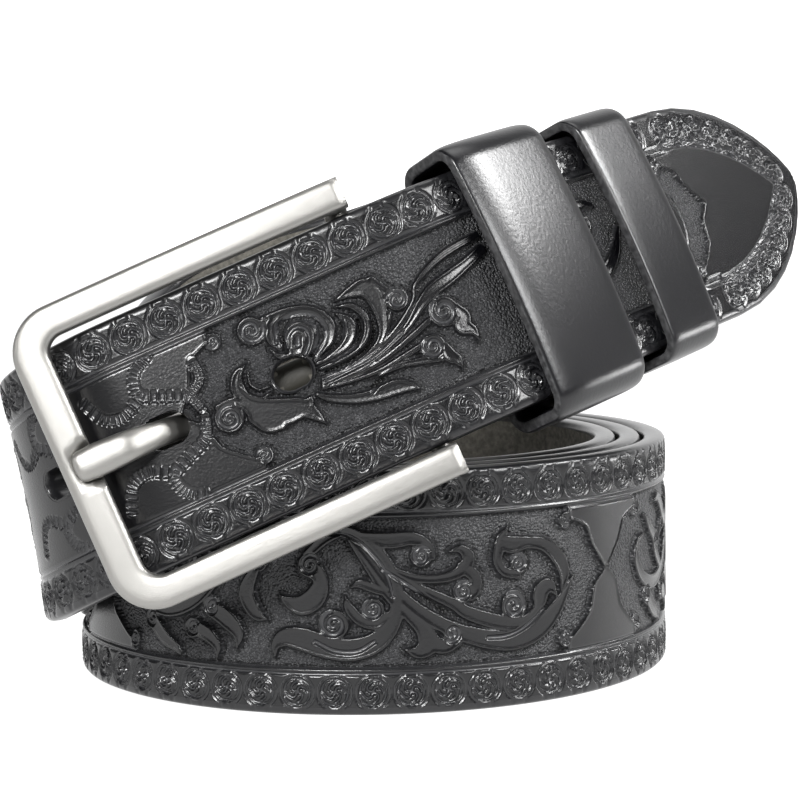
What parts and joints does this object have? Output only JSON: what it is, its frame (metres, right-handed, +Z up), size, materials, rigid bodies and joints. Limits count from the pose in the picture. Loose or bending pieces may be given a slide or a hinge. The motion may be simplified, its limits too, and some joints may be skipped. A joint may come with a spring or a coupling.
{
  "type": "western tooled belt",
  "caption": "Tooled western leather belt with a nickel prong buckle and leather keepers, fastened and wound into a standing coil.",
  "frame": {"origin": "on the floor, in the middle of the box round the whole fastened belt", "axes": "+Z up from the floor, +X to the right as seen from the buckle's side, +Y from the buckle to the back"},
  "size_m": [0.1352, 0.114, 0.0934],
  "materials": {
    "tooled_leather": "black veg-tanned leather, tooled face with a soft sheen, glossy painted edges, suede back",
    "keeper_leather": "smooth satin black leather",
    "satin_nickel": "brushed satin nickel plating on cast zinc"
  },
  "bodies": {
    "root": {"belt_strap": "tooled_leather", "keeper_wide": "keeper_leather", "keeper_narrow": "keeper_leather", "buckle_frame": "satin_nickel", "buckle_prong": "satin_nickel"}
  },
  "joints": []
}
